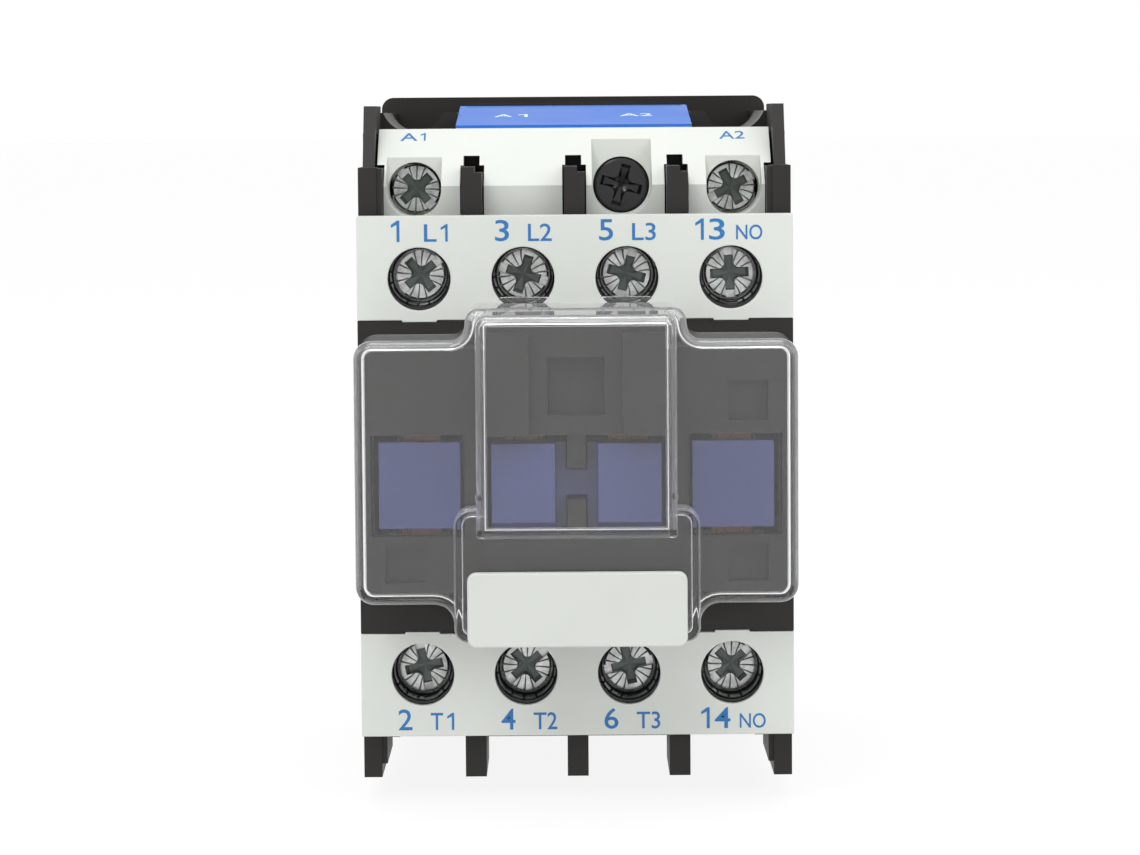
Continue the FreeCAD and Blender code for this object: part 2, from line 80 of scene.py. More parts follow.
MM = 0.001
REAR_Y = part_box("base_housing")[1].y
CONTACT_Z = sum(corner.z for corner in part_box("contact_carrier")) / 2
FRONT_PLATE_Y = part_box("upper_terminal_cover")[0].y
SPRING_STEPS = 20             # points in one turn of a spring
LINES = ["line_%d" % n for n in range(1, 5)]
LOADS = ["load_%d" % n for n in range(1, 5)]
COILS = ["a1", "a2"]


def height(h):
    """Y of a plane h millimetres in front of the rearmost plane."""
    return REAR_Y - h * MM


def centre(node):
    low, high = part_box(node)
    return (low + high) / 2


# ---- mesh helpers


def new_object(name, data):
    """An object in the scene that shows a mesh, curve, camera or light."""
    piece = bpy.data.objects.new(name, data)
    bpy.context.scene.collection.objects.link(piece)
    return piece


def object_from(name, bm, materials, smooth_angle):
    """A new object at the origin from a bmesh that holds its place."""
    mesh = bpy.data.meshes.new(name)
    bm.to_mesh(mesh)
    bm.free()
    for material in materials:
        mesh.materials.append(material)
    piece = new_object(name, mesh)
    shade(piece, smooth_angle)
    return piece


def mesh_piece(name, bm, material, smooth_angle=30.0):
    """A new object of one material, its faces turned outwards."""
    bmesh.ops.recalc_face_normals(bm, faces=bm.faces)
    return object_from(name, bm, [material], smooth_angle)


def skin(bm, a, b):
    """Faces between two loops of as many corners."""
    for i in range(len(a)):
        j = (i + 1) % len(a)
        bm.faces.new((a[i], a[j], b[j], b[i]))


def shade(piece, angle):
    for polygon in piece.data.polygons:
        polygon.use_smooth = True
    piece.data.set_sharp_from_angle(angle=radians(angle))


def evaluated_mesh(piece):
    graph = bpy.context.evaluated_depsgraph_get()
    return bpy.data.meshes.new_from_object(piece.evaluated_get(graph))


def settle(piece):
    """Turns a piece's live modifiers into plain mesh."""
    mesh = evaluated_mesh(piece)
    piece.modifiers.clear()
    piece.data = mesh


def join_frame(piece, body, slot, *nodes):
    """Puts a finished piece on its body, and hides the frame's nodes that it stands for."""
    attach(piece, body)
    if nodes:
        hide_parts(*nodes)


def node_bmesh(node):
    """A clean copy of a frame node: corners merged and flat faces whole again."""
    bm = bmesh.new()
    bm.from_mesh(frame["nodes"][node].data)
    bmesh.ops.remove_doubles(bm, verts=bm.verts, dist=1e-6)
    flat = radians(0.6)
    bmesh.ops.dissolve_limit(bm, angle_limit=flat, verts=bm.verts, edges=bm.edges)
    return bm


def softened(node, name, material, width, segments=2):
    """A frame node with its moulded or stamped edges rounded."""
    bm = node_bmesh(node)
    if width > 0:
        bmesh.ops.remove_doubles(bm, verts=bm.verts, dist=0.06 * MM)
    piece = mesh_piece(name, bm, material)
    if width > 0:
        bevel = piece.modifiers.new("edges", "BEVEL")
        bevel.width = width
        bevel.segments = segments
        bevel.limit_method = "ANGLE"
        bevel.angle_limit = radians(35)
        bevel.use_clamp_overlap = True
        settle(piece)
        even_normals(piece)
    return piece


def even_normals(piece):
    """Keeps flat faces looking flat up to their rounded edges."""
    shade(piece, 40)
    weighted = piece.modifiers.new("normals", "WEIGHTED_NORMAL")
    weighted.keep_sharp = True
    weighted.weight = 100
    settle(piece)


def revolve(bm, profile, place, steps=48):
    """Turns a profile of (radius, y) round an axis along Y at place (x, z), and returns its rings."""
    x0, z0 = place
    rings = []
    for radius, y in profile:
        turns = [2 * pi * i / steps for i in range(steps if radius > 0 else 1)]
        rings.append([bm.verts.new((x0 + radius * cos(turn), y, z0 + radius * sin(turn))) for turn in turns])
    for a, b in zip(rings, rings[1:]):
        count = max(len(a), len(b))
        for i in range(count):
            j = (i + 1) % count
            corners = [a[i % len(a)], a[j % len(a)], b[j % len(b)], b[i % len(b)]]
            unique = list(dict.fromkeys(corners))
            if len(unique) > 2:
                bm.faces.new(unique)
    return rings


def thicken(bm, way, keep):
    """Extrudes all faces along a way, and keeps or drops the flat ones."""
    raised = bmesh.ops.extrude_face_region(bm, geom=list(bm.faces), use_keep_orig=keep)
    top = [item for item in raised["geom"] if isinstance(item, bmesh.types.BMVert)]
    bmesh.ops.translate(bm, verts=top, vec=way)


def tube_along(bm, points, radius, sides=8, closed=False):
    """A round wire along a list of points."""
    rings = []
    count = len(points)
    side_way = None
    for i, point in enumerate(points):
        before = points[i - 1] if i or closed else point
        after = points[(i + 1) % count] if i < count - 1 or closed else point
        along = (after - before).normalized()
        if side_way is None:
            side_way = along.orthogonal()
        side_way = (side_way - along * side_way.dot(along)).normalized()
        across = along.cross(side_way)
        turns = [2 * pi * k / sides for k in range(sides)]
        rings.append([bm.verts.new(point + (side_way * cos(turn) + across * sin(turn)) * radius)
                      for turn in turns])
    for a, b in zip(rings, rings[1:]):
        skin(bm, a, b)
    if closed:
        skin(bm, rings[-1], rings[0])
    else:
        bm.faces.new(rings[0])
        bm.faces.new(rings[-1])


def coil_spring(name, node, foot, axis, length, mean_radius, wire, turns):
    """A compression spring in its node's place, from its foot along an axis; its end turns are closed."""
    across = axis.orthogonal().normalized()
    beside = axis.cross(across).normalized()
    pitch = (length - 6 * wire) / turns
    points = []
    for i in range(int((turns + 2) * SPRING_STEPS) + 1):
        turn = i / SPRING_STEPS
        rise = wire + 2 * wire * min(turn, 1.0)
        rise += pitch * min(max(turn - 1.0, 0.0), turns)
        rise += 2 * wire * max(turn - 1.0 - turns, 0.0)
        angle = 2 * pi * turn
        points.append(foot + axis * rise + (across * cos(angle) + beside * sin(angle)) * mean_radius)
    bm = bmesh.new()
    tube_along(bm, points, wire)
    piece = mesh_piece(name, bm, finish("wire"), 60)
    stand_for(piece, node)
    return piece


# ---- material helpers


def set_inputs(node, inputs):
    for name, value in inputs.items():
        node.inputs[name].default_value = value


def blank_material(name, **inputs):
    """A material and its Principled shader, whose inputs are named with _ for a space."""
    material = bpy.data.materials.new(name)
    material.use_nodes = True
    shader = material.node_tree.nodes["Principled BSDF"]
    set_inputs(shader, {key.replace("_", " "): value for key, value in inputs.items()})
    return material, shader


def add(owner, kind, inputs):
    """A new node of a material or the world, with some of its inputs set."""
    node = owner.node_tree.nodes.new(kind)
    set_inputs(node, inputs)
    return node


def link(owner, source, target):
    owner.node_tree.links.new(source, target)


def place_coordinates(material, scale=(1, 1, 1), turn=(0, 0, 0)):
    """Object coordinates through a Mapping node."""
    coordinates = add(material, "ShaderNodeTexCoord", {})
    mapping = add(material, "ShaderNodeMapping", {"Scale": scale, "Rotation": turn})
    link(material, coordinates.outputs["Object"], mapping.inputs["Vector"])
    return mapping.outputs["Vector"]


def noise(material, vector, scale, detail=3.0, roughness=0.55):
    texture = add(material, "ShaderNodeTexNoise", {"Scale": scale, "Detail": detail, "Roughness": roughness})
    link(material, vector, texture.inputs["Vector"])
    return texture.outputs["Fac"]


def spread(material, factor, low, high, from_low=0.3, from_high=0.7):
    """Maps a texture's factor to a range of values."""
    ramp = add(material, "ShaderNodeMapRange",
               {"From Min": from_low, "From Max": from_high, "To Min": low, "To Max": high})
    link(material, factor, ramp.inputs["Value"])
    return ramp.outputs["Result"]


def tint(material, factor, dark, light):
    """A colour between two, by a texture's factor."""
    ramp = add(material, "ShaderNodeValToRGB", {})
    for element, position, colour in zip(ramp.color_ramp.elements, (0.3, 0.7), (dark, light)):
        element.position = position
        element.color = (*colour, 1)
    link(material, factor, ramp.inputs["Fac"])
    return ramp.outputs["Color"]


def bump(material, shader, factor, strength, distance):
    node = add(material, "ShaderNodeBump", {"Strength": strength, "Distance": distance})
    link(material, factor, node.inputs["Height"])
    link(material, node.outputs["Normal"], shader.inputs["Normal"])


def mix_surface(material, share, first, second):
    """Makes a material's surface a mix of two shaders."""
    mix = add(material, "ShaderNodeMixShader", {})
    for source, target in zip((share, first, second), mix.inputs):
        link(material, source, target)
    link(material, mix.outputs["Shader"], material.node_tree.nodes["Material Output"].inputs["Surface"])


def scaled(colour, factor):
    return tuple(min(channel * factor, 1.0) for channel in colour)


def tinted(material, shader, factor, colour, dark, light):
    """Colours a shader between two strengths of a colour, by a texture's factor."""
    colours = tint(material, factor, scaled(colour, dark), scaled(colour, light))
    link(material, colours, shader.inputs["Base Color"])


def roughened(material, shader, factor, low, high):
    link(material, spread(material, factor, low, high), shader.inputs["Roughness"])


# ---- finishes


def moulded(name, colour, roughness, grain=0.25, variation=0.10, specular=0.5):
    """Moulded thermoplastic: spark-eroded grain, faint cloudiness, and gloss that varies a little."""
    material, shader = blank_material(name, Specular_IOR_Level=specular)
    vector = place_coordinates(material)
    cloud = noise(material, vector, 90.0, 4.0)
    fine = noise(material, vector, 5200.0, 2.0, 0.6)
    tinted(material, shader, cloud, colour, 1 - variation, 1 + variation)
    roughened(material, shader, cloud, roughness - 0.05, roughness + 0.05)
    bump(material, shader, fine, grain, 0.00003)
    return material


def zinc_plate(name, colour, roughness):
    """Bright zinc plate: fine turning marks, dull spots and a slight colour shift."""
    material, shader = blank_material(name, Metallic=1.0)
    cloud = noise(material, place_coordinates(material), 700.0, 4.0, 0.65)
    scratches = noise(material, place_coordinates(material, (1, 1, 14), (0.4, 0.2, 0.7)), 1800.0, 3.0)
    tinted(material, shader, cloud, colour, 0.62, 1.3)
    roughened(material, shader, scratches, roughness - 0.07, roughness + 0.10)
    bump(material, shader, scratches, 0.25, 0.00002)
    return material


def bare_metal(name, colour, roughness, drawn=(1, 1, 1)):
    """Copper, silver, brass or wire: drawn or rolled marks along one way, with faint tarnish."""
    material, shader = blank_material(name, Metallic=1.0)
    cloud = noise(material, place_coordinates(material), 420.0, 4.0, 0.6)
    marks = noise(material, place_coordinates(material, drawn), 2400.0, 2.0)
    tinted(material, shader, cloud, colour, 0.75, 1.05)
    roughened(material, shader, marks, roughness - 0.06, roughness + 0.10)
    bump(material, shader, marks, 0.2, 0.00002)
    return material


def enamel_wire(name, colour):
    """Enamelled copper wire: coppery metal under a hard amber coat."""
    material, shader = blank_material(name, Metallic=0.75, Coat_Weight=0.8, Coat_Roughness=0.12)
    cloud = noise(material, place_coordinates(material), 300.0, 3.0)
    tinted(material, shader, cloud, colour, 0.7, 1.15)
    roughened(material, shader, cloud, 0.26, 0.40)
    return material


def clear_plastic(name):
    """Clear moulded plastic with painted pale rims: where it is seen edge-on it lets less through and shows
    its white base colour, a painted sheen. Lamps' rays go straight through it, so its shadow is faint.
    """
    material, shader = blank_material(name, Base_Color=(0.985, 0.985, 0.99, 1), IOR=1.45)
    # painted sheen: transmission falls from 0.99 to 0.6 towards a grazing view, so the white base shows as a
    # pale rim
    view = add(material, "ShaderNodeLayerWeight", {})
    edges = spread(material, view.outputs["Facing"], 0.99, 0.6, 0.45, 1.0)
    link(material, edges, shader.inputs["Transmission Weight"])
    roughened(material, shader, noise(material, place_coordinates(material), 160.0, 3.0), 0.0, 0.01)
    rays = add(material, "ShaderNodeLightPath", {})
    clear = add(material, "ShaderNodeBsdfTransparent", {"Color": (0.95, 0.95, 0.95, 1)})
    mix_surface(material, rays.outputs["Is Shadow Ray"], shader.outputs["BSDF"], clear.outputs["BSDF"])
    return material


def printing_ink(name, colour):
    """Pad-printed ink with slightly uneven cover."""
    material, shader = blank_material(name, Roughness=0.5)
    cover = noise(material, place_coordinates(material), 2600.0, 3.0, 0.7)
    tinted(material, shader, cover, colour, 1.0, 1.35)
    return material


def laminated_steel(name, colour):
    """Edges of stacked silicon-steel sheets, with a little oil darkness between them."""
    material, shader = blank_material(name, Metallic=1.0)
    smear = noise(material, place_coordinates(material, (1, 1, 0.15)), 260.0, 4.0)
    tinted(material, shader, smear, colour, 0.7, 1.1)
    roughened(material, shader, smear, 0.3, 0.48)
    return material


def rubber(name, colour):
    material, shader = blank_material(name)
    grit = noise(material, place_coordinates(material), 1800.0, 4.0)
    tinted(material, shader, grit, colour, 1.0, 1.5)
    roughened(material, shader, grit, 0.75, 0.92)
    bump(material, shader, grit, 0.35, 0.00005)
    return material


# ---- settings


def size_property(name, description, default, least=0.0):
    return bpy.props.FloatProperty(
        name=name, description=description, default=default, min=least, unit="LENGTH")


class ContactorSizes(bpy.types.PropertyGroup):
    """Sizes that a user would change, in metres."""
    housing_edge: size_property("Housing edge", "Rounding of the dark mouldings' edges", 0.00016)
    white_edge: size_property("White edge", "Rounding of the white mouldings' edges", 0.00012)
    stamped_edge: size_property("Stamped edge", "Rounding of strips, washers and bridges", 0.00008)
    wire_radius: size_property("Winding wire", "Radius of the coil's enamelled wire", 0.0002, 0.00005)
    sheet_pitch: size_property("Sheet pitch", "Distance between the core's laminations", 0.0005, 0.0002)
    number_height: size_property("Number height", "Height of the terminal numbers", 0.0022, 0.0005)
    letter_height: size_property("Letter height", "Height of the terminal letters", 0.0018, 0.0005)
    ink_thickness: size_property("Ink", "Thickness of the printed marks", 0.00002, 0.000005)


def colour_property(name, description, default):
    return bpy.props.FloatVectorProperty(
        name=name, description=description, subtype="COLOR", size=3, min=0, max=1, default=default)


class ContactorColours(bpy.types.PropertyGroup):
    """Colours of the finishes."""
    housing: colour_property("Housing", "Dark warm-grey moulding", (0.0145, 0.0125, 0.0115))
    white: colour_property("White", "Terminal covers and coil block", (0.70, 0.73, 0.685))
    marker: colour_property("Marker", "Blank marker plate", (0.62, 0.645, 0.61))
    carrier: colour_property("Carrier", "Blue contact carrier", (0.042, 0.052, 0.16))
    label: colour_property("Label", "Blue coil label", (0.02, 0.15, 0.62))
    ink: colour_property("Ink", "Terminal marks", (0.016, 0.145, 0.38))
    zinc: colour_property("Zinc", "Bright zinc plate", (0.52, 0.53, 0.52))
    copper: colour_property("Copper", "Bare copper", (0.80, 0.42, 0.26))
    brass: colour_property("Brass", "Plated brass strips", (0.70, 0.62, 0.42))
    steel: colour_property("Steel", "Core sheets and springs", (0.46, 0.46, 0.47))


def sizes():
    return bpy.context.scene.contactor_sizes


def colours():
    return bpy.context.scene.contactor_colours


MADE = {}


def finish(key):
    """The material of a finish, made once."""
    if key not in MADE:
        MADE[key] = FINISHES[key]()
    return MADE[key]


FINISHES = {
    "housing": lambda: moulded("housing_moulding", colours().housing, 0.45, 0.06, 0.12, 0.35),
    "gloss_dark": lambda: moulded("guide_moulding", (0.005, 0.005, 0.006), 0.08, 0.0, 0.10, 0.5),
    "white": lambda: moulded("white_moulding", colours().white, 0.46, 0.10, 0.02),
    "marker": lambda: moulded("marker_moulding", colours().marker, 0.34, 0.10, 0.02),
    "carrier": lambda: moulded("carrier_moulding", colours().carrier, 0.36, 0.06, 0.08),
    "label": lambda: moulded("label_film", colours().label, 0.42, 0.02, 0.03, 0.3),
    "ink": lambda: printing_ink("mark_ink", colours().ink),
    "label_ink": lambda: printing_ink("label_ink", (0.62, 0.74, 0.85)),
    "zinc": lambda: zinc_plate("screw_zinc", colours().zinc, 0.30),
    # painted shade: the zinc screws' cross recesses take this darker grey-green non-metal colour in place of
    # zinc, for the shade inside them
    "recess_shade": lambda: moulded("screw_recess_painted_shade", (0.24, 0.28, 0.265), 0.35, 0.1, 0.2),
    "black_screw": lambda: moulded("black_oxide", (0.008, 0.008, 0.009), 0.24, 0.10, 0.2),
    "copper": lambda: bare_metal("bare_copper", colours().copper, 0.30, (1, 1, 0.08)),
    "brass": lambda: bare_metal("plated_brass", colours().brass, 0.30, (1, 1, 0.08)),
    "silver": lambda: bare_metal("contact_silver", (0.83, 0.82, 0.79), 0.34),
    "wire": lambda: bare_metal("spring_wire", colours().steel, 0.26),
    "enamel": lambda: enamel_wire("winding_enamel", (0.45, 0.15, 0.055)),
    "sheets": lambda: laminated_steel("core_sheets", colours().steel),
    "rubber": lambda: rubber("cushion_rubber", (0.02, 0.02, 0.02)),
    "clear": lambda: clear_plastic("cover_plastic"),
}


def body_of(node):
    bodies = frame["record"]["behaviour"]["bodies"]
    return next(name for name, members in bodies.items() if node in members)


def slot_of(node):
    return next(part["material_slot"] for part in frame["record"]["subparts"] if part["node"] == node)


def stand_for(piece, node):
    """Puts a piece on its node's body, in the node's place, and hides the node."""
    join_frame(piece, body_of(node), slot_of(node), node)


def soften_nodes(nodes, key, width):
    for node in nodes:
        stand_for(softened(node, node + "_form", finish(key), width), node)


# ---- mouldings


def screw_guides():
    """Glossy dark bowls that lead a screwdriver down to each terminal screw."""
    low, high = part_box("screw_guides")
    outer = (high.x - low.x) / 2 - centre("clamp_washer_line_4").x
    bm = bmesh.new()
    for label in LINES + LOADS:
        place = centre("terminal_screw_" + label)
        inner = outer - 0.35 * MM
        throat = outer - 0.85 * MM
        profile = [(outer, high.y), (outer, low.y), (inner, low.y)]
        for i in range(1, 9):
            turn = i / 8 * pi / 2
            profile.append((throat + (inner - throat) * cos(turn),
                            low.y + (high.y - low.y) * sin(turn)))
        rings = revolve(bm, profile, (place.x, place.z))
        skin(bm, rings[-1], rings[0])
    return mesh_piece("screw_guide_bowls", bm, finish("gloss_dark"), 40)


# ---- printed marks


ONE_WIDTH = 0.40              # of the cap height
ONE_STROKE = 0.14
ONE_GAP = 0.24
# From a screw to its marks: rise, left of a number, left of a two-figure number, left of the letters.
MARK_PLACES = {
    1: (3.55 * MM, -2.85 * MM, -3.65 * MM, 0.55 * MM),
    -1: (3.95 * MM, -2.6 * MM, -3.25 * MM, 0.75 * MM)}


def text_mesh(words, size):
    """Flat outlines of a word as faces, upright in X and Z, its left foot at the origin."""
    curve = bpy.data.curves.new("words", "FONT")
    curve.body = words
    curve.size = size
    curve.resolution_u = 4
    curve.offset = size * 0.007
    holder = new_object("words", curve)
    mesh = evaluated_mesh(holder)
    bpy.data.objects.remove(holder)
    mesh.transform(Matrix.Rotation(pi / 2, 4, "X"))
    return mesh


def figure_one(bm, cap, left, foot):
    """A figure one with a flag: a stem and a slanted stroke at its top."""
    stroke = cap * ONE_STROKE
    right = left + cap * ONE_WIDTH
    outline = ((right, 0), (right, cap), (right - stroke * 0.8, cap), (left, cap * 0.80), (left, cap * 0.66),
               (right - stroke, cap * 0.80), (right - stroke, 0))
    bm.faces.new([bm.verts.new((x, 0, foot + z)) for x, z in outline])


def add_words(bm, words, cap, left, foot, width):
    """Flat words of a cap height, stretched to a width; each figure one is drawn apart."""
    rest = words.strip("1")
    one = cap * ONE_WIDTH
    if words.startswith("1"):
        figure_one(bm, cap, left, foot)
        left += one + cap * ONE_GAP
        width -= one + cap * ONE_GAP
    if words.endswith("1") and rest:
        figure_one(bm, cap, left + width - one, foot)
        width -= one + cap * ONE_GAP
    if not rest:
        return
    mesh = text_mesh(rest, 1.0)
    xs = [v.co.x for v in mesh.vertices]
    zs = [v.co.z for v in mesh.vertices]
    mesh.transform(Matrix.Translation((-min(xs), 0, -min(zs))))
    mesh.transform(Matrix.Diagonal((width / (max(xs) - min(xs)), 1, cap / (max(zs) - min(zs)), 1)))
    mesh.transform(Matrix.Translation((left, 0, foot)))
    bm.from_mesh(mesh)
    bpy.data.meshes.remove(mesh)


def print_piece(name, key, words, lie):
    """Words as (text, cap height, left, foot, width), given the ink's thickness and laid on a plane."""
    bm = bmesh.new()
    for text, cap, left, foot, width in words:
        add_words(bm, text, cap, left, foot, width)
    bmesh.ops.remove_doubles(bm, verts=bm.verts, dist=1e-7)
    thicken(bm, (0, -sizes().ink_thickness, 0), False)
    bmesh.ops.transform(bm, matrix=lie, verts=bm.verts)
    return mesh_piece(name, bm, finish(key), 30)


def terminal_marks(side, numbers, letters):
    """Numbers and letters beside the four screws of one terminal cover."""
    node = "upper_terminal_cover" if side > 0 else "lower_terminal_cover"
    screws = LINES if side > 0 else LOADS
    cap, small = sizes().number_height, sizes().letter_height
    words = []
    rise, left, left_long, letter_left = MARK_PLACES[side]
    for label, number, letter in zip(screws, numbers.split(), letters.split()):
        place = centre("terminal_screw_" + label)
        foot = place.z + side * rise - (0 if side > 0 else cap)
        long_number = len(number) > 1
        start = place.x + (left_long if long_number else left)
        words.append((number, cap, start, foot, cap * (1.38 if long_number else 0.66)))
        letter_cap = small * (0.86 if letter == "NO" else 1.0)
        letter_width = letter_cap * (1.75 if letter == "NO" else 1.36)
        words.append((letter, letter_cap, place.x + letter_left, foot, letter_width))
    lie = Matrix.Translation((0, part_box(node)[0].y, 0))
    return print_piece(node + "_marks", "ink", words, lie)


def slope_matrix(low, high):
    """Lays the front plane on the slope from low to high, both (y, z)."""
    tilt = atan2(high[0] - low[0], high[1] - low[1])
    return Matrix.Translation((0, low[0], low[1])) @ Matrix.Rotation(-tilt, 4, "X")


def coil_marks():
    """A1 and A2 near the top of the coil block's sloped face."""
    block_low, block_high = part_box("coil_terminal_block")
    low = (block_low.y, 27.5 * MM)
    high = (block_low.y + 8.0 * MM, 33.45 * MM)
    length = dist(low, high)
    cap = 1.35 * MM
    words = []
    for node, text, shift in (("coil_screw_a1", "A1", -1.6), ("coil_screw_a2", "A2", -1.3)):
        words.append((text, cap, centre(node).x + shift * MM, length - cap - 0.75 * MM, 2.7 * MM))
    return print_piece("coil_block_marks", "ink", words, slope_matrix(low, high))


def label_marks():
    """Generic coil terminals A1 and A2 on the label."""
    low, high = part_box("coil_label")
    front = (low.y, high.z - 2.1 * MM)
    back = (high.y, high.z)
    cap = 2.6 * MM
    words = [("A1", cap, -8.6 * MM, 8.0 * MM, 3.6 * MM), ("A2", cap, 5.0 * MM, 8.0 * MM, 3.6 * MM)]
    return print_piece("coil_label_marks", "label_ink", words, slope_matrix(front, back))


# ---- screws


SHANK_RADIUS = 1.75 * MM
RIB_RISE = 0.2 * MM
SLOT_HALF = 0.5 * MM
# The way that each screw's slot was left pointing, in degrees up from +X.
SLOT_TURNS = {"line_1": 39, "line_2": -18, "line_3": 75, "line_4": 93,
              "load_1": 102, "load_2": 40, "load_3": 12, "load_4": 42, "a1": -48, "a2": 28}


def boolean(piece, other, operation):
    """Joins or cuts one plain mesh with another, and removes the other."""
    modifier = piece.modifiers.new("cut", "BOOLEAN")
    modifier.operation = operation
    modifier.object = other
    modifier.solver = "EXACT"
    settle(piece)
    bpy.data.objects.remove(other)
    return piece


def cross_outline(reach, half, fillet, steps=4):
    """A cross with rounded inner corners, as (x, z) points."""
    points = []
    for quarter in range(4):
        turn = quarter * pi / 2
        arm = [(reach, -half), (reach, half)]
        for i in range(steps + 1):
            a = i / steps * pi / 2
            arm.append((half + fillet * (1 - sin(a)), half + fillet * (1 - cos(a))))
        points += [(x * cos(turn) - z * sin(turn), x * sin(turn) + z * cos(turn))
                   for x, z in arm]
    return points


def cutter_from(outline, levels, material, point=None):
    """A closed solid through scaled copies of an outline at (y, scale) levels, and to a point if given."""
    bm = bmesh.new()
    rings = [[bm.verts.new((x * scale, y, z * scale)) for x, z in outline] for y, scale in levels]
    for a, b in zip(rings, rings[1:]):
        skin(bm, a, b)
    bm.faces.new(rings[0])
    if point is None:
        bm.faces.new(rings[-1])
    else:
        tip = bm.verts.new((0, point, 0))
        for i in range(len(rings[-1])):
            bm.faces.new((rings[-1][i], rings[-1][(i + 1) % len(rings[-1])], tip))
    return mesh_piece("cutter", bm, material)


def rib_wedges(radius, front, material):
    """Three raised radial ridges in each quarter of a screw's head."""
    bm = bmesh.new()
    base = Vector((0, front + 0.30 * MM, 0))
    crest = Vector((0, front - RIB_RISE, 0))
    for quarter in range(4):
        for lean in (-21, 0, 21):
            angle = radians(45 + 90 * quarter + lean)
            along = Vector((cos(angle), 0, sin(angle)))
            across = Vector((-along.z, 0, along.x))
            inner = 0.95 * MM if lean == 0 else 1.25 * MM
            outer = radius - 0.03 * MM
            rings = []
            for reach, half in ((inner, 0.12 * MM), (outer, 0.26 * MM)):
                middle = along * reach
                end = (middle + across * half + base, middle - across * half + base, middle + crest)
                rings.append([bm.verts.new(p) for p in end])
            skin(bm, *rings)
            bm.faces.new(rings[0])
            bm.faces.new(rings[1])
    return mesh_piece("ribs", bm, material)


def thread_profile(radius, front, tip, pitch):
    """The saw-toothed outline of a threaded shank, from the head to a chamfered tip."""
    profile = [(radius, front), (radius, front + pitch * 0.4)]
    y = front + pitch * 0.4
    depth = pitch * 0.42
    while y + pitch < tip - 0.3 * MM:
        profile += [(radius - depth, y + pitch * 0.45), (radius, y + pitch * 0.9), (radius, y + pitch)]
        y += pitch
    return profile + [(radius - depth, tip - 0.05 * MM), (radius - depth - 0.25 * MM, tip), (0, tip)]


def screw_head(radius, thick, metal, dark, ribbed):
    """A combination head facing -Y from y 0: flat crown, deep cross, shallow slot and radial ridges; its
    recessed faces take the dark material, which on the zinc screws is painted shade.
    """
    bm = bmesh.new()
    crown = RIB_RISE if ribbed else 0.0
    profile = [(0, crown), (radius * 0.93, crown + 0.03 * MM), (radius - 0.04 * MM, crown + 0.12 * MM),
               (radius, crown + 0.3 * MM),
               (radius, thick - 0.08 * MM), (radius - 0.08 * MM, thick), (0, thick)]
    revolve(bm, profile, (0, 0), 56)
    piece = mesh_piece("head", bm, metal)
    if ribbed:
        boolean(piece, rib_wedges(radius, RIB_RISE + 0.02 * MM, metal), "UNION")
        ends = [(radius + MM, -SLOT_HALF), (radius + MM, SLOT_HALF),
                (-radius - MM, SLOT_HALF), (-radius - MM, -SLOT_HALF)]
        boolean(piece, cutter_from(ends, [(-0.4 * MM, 1), (0.95 * MM, 1)], metal), "DIFFERENCE")
    cross = cross_outline(radius * 0.78, SLOT_HALF + 0.01 * MM, radius * 0.2)
    levels = [(-0.4 * MM, 1.0), (0.2 * MM, 1.0), (1.45 * MM, 0.84)]
    boolean(piece, cutter_from(cross, levels, metal, 1.75 * MM), "DIFFERENCE")
    piece.data.materials.clear()
    piece.data.materials.append(metal)
    piece.data.materials.append(dark)
    for polygon in piece.data.polygons:
        reach = hypot(polygon.center.x, polygon.center.z)
        depth = polygon.center.y
        # the faces inside the cross take the dark material: on the zinc screws this is a painted shade
        # colour
        steep = hypot(polygon.normal.x, polygon.normal.z) > 0.1 or depth > 1.0 * MM
        recessed = reach < radius * 0.8 and 0.1 * MM < depth < 1.9 * MM and steep
        polygon.material_index = 1 if recessed else 0
    bm = bmesh.new()
    bm.from_mesh(piece.data)
    bmesh.ops.triangulate(bm, faces=bm.faces)
    bm.to_mesh(piece.data)
    bm.free()
    return piece


def screw_form(node, head, head_back, turn, shank):
    """A screw in its node's place: a copy of a head, turned, on a threaded shank."""
    low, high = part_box(node)
    bm = bmesh.new()
    bm.from_mesh(head.data)
    bmesh.ops.translate(bm, verts=bm.verts, vec=(0, low.y, 0))
    revolve(bm, thread_profile(shank, head_back, high.y, 0.6 * MM), (0, 0), 40)
    place = Matrix.Translation((centre(node).x, 0, centre(node).z))
    bmesh.ops.transform(bm, verts=bm.verts, matrix=place @ Matrix.Rotation(-turn, 4, "Y"))
    stand_for(object_from(node + "_form", bm, head.data.materials, 26), node)


def screw_node(label):
    return ("coil_screw_" if label in COILS else "terminal_screw_") + label


def terminal_screws():
    low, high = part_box(screw_node("line_1"))
    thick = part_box("clamp_washer_line_1")[0].y - low.y
    # the recess material is painted shade inside each zinc head's cross
    head = screw_head((high.x - low.x) / 2, thick, finish("zinc"), finish("recess_shade"), True)
    for label, turn in SLOT_TURNS.items():
        head_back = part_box("clamp_washer_" + label)[0].y
        screw_form(screw_node(label), head, head_back, radians(turn), SHANK_RADIUS)
    bpy.data.objects.remove(head)


def housing_screw():
    low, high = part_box("housing_screw")
    black = finish("black_screw")
    head = screw_head((high.x - low.x) / 2, height(51.0) - low.y, black, black, False)
    screw_form("housing_screw", head, height(51.0), radians(-15), SHANK_RADIUS - 0.3 * MM)
    bpy.data.objects.remove(head)


# ---- magnet and coil


